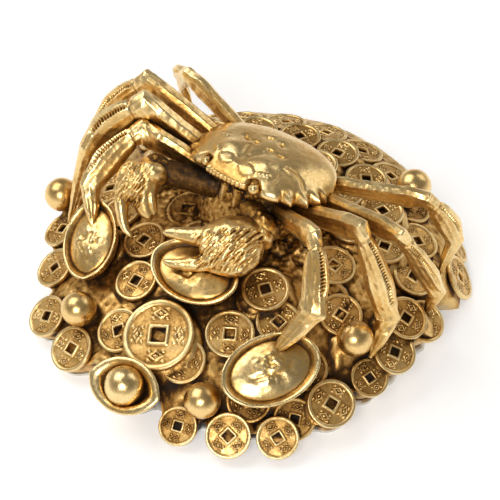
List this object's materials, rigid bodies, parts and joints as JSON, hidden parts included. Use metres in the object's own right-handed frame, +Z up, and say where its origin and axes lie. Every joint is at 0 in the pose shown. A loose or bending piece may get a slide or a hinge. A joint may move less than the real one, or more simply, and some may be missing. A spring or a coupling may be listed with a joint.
{
  "type": "crab figurine",
  "caption": "Cast-brass crab ornament with arched legs and open pincers on a hollow mound of holed coins, boat-shaped ingots and pearls, standing on its flat rim.",
  "frame": {"origin": "centre of the mound's round rim, on the surface it stands on", "axes": "+Z up; the crab faces -Y, and +X is the crab's own left side"},
  "size_m": [0.1507, 0.1588, 0.0638],
  "materials": {
    "crab_brass": "satin antique brass, dark in the recesses",
    "coin_brass": "satin antique brass, dark round the relief",
    "ingot_brass": "satin antique brass, bright on the lips",
    "polished_brass": "smooth, rubbed bright",
    "mound_brass": "rough as cast, dark patina"
  },
  "bodies": {
    "root": {"mound_shell": "mound_brass", "pearls": "polished_brass", "carapace": "crab_brass", "underbody": "crab_brass", "eyes": "crab_brass", "mouth_plates": "crab_brass", "left_leg_1": "crab_brass", "left_leg_2": "crab_brass", "left_leg_3": "crab_brass", "left_leg_4": "crab_brass", "right_leg_1": "crab_brass", "right_leg_2": "crab_brass", "right_leg_3": "crab_brass", "right_leg_4": "crab_brass", "left_claw_arm": "crab_brass", "right_claw_arm": "crab_brass", "left_claw": "crab_brass", "right_claw": "crab_brass", "big_coin": "coin_brass", "front_coins": "coin_brass", "front_rim_coins": "coin_brass", "left_coins": "coin_brass", "right_coins": "coin_brass", "rear_coins_lower": "coin_brass", "rear_coins_middle": "coin_brass", "rear_coins_upper": "coin_brass", "skirt_coins": "coin_brass", "ingot_front": "ingot_brass", "ingot_left": "ingot_brass", "ingot_centre": "ingot_brass", "ingot_right": "ingot_brass"}
  },
  "joints": []
}
